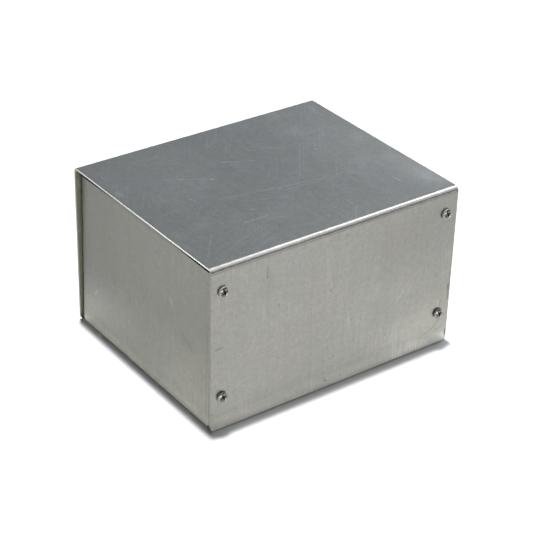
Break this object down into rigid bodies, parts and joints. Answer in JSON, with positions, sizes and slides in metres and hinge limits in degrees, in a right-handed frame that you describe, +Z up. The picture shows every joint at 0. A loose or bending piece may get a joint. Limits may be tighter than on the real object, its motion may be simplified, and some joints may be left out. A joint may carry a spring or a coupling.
{
  "type": "aluminium project box",
  "caption": "Folded aluminium project box: a U-shaped cover over a flanged chassis, held by pan-head screws front and rear.",
  "frame": {"origin": "middle of the floor's underside, on the surface the box stands on", "axes": "+X to the right along the long side as seen from the front; the front flap faces -Y; +Z up"},
  "size_m": [0.125, 0.1068, 0.0762],
  "materials": {
    "cover_aluminium": "bare mill sheet, scratched and lightly stained",
    "chassis_aluminium": "bare mill sheet, lightly stained",
    "screw_plating": "zinc-plated steel"
  },
  "bodies": {
    "root": {"cover": "cover_aluminium", "chassis": "chassis_aluminium", "screw_front_lower_left": "screw_plating", "screw_front_lower_right": "screw_plating", "screw_front_upper_left": "screw_plating", "screw_front_upper_right": "screw_plating", "screw_rear_lower_left": "screw_plating", "screw_rear_lower_right": "screw_plating", "screw_rear_upper_left": "screw_plating", "screw_rear_upper_right": "screw_plating"}
  },
  "joints": []
}
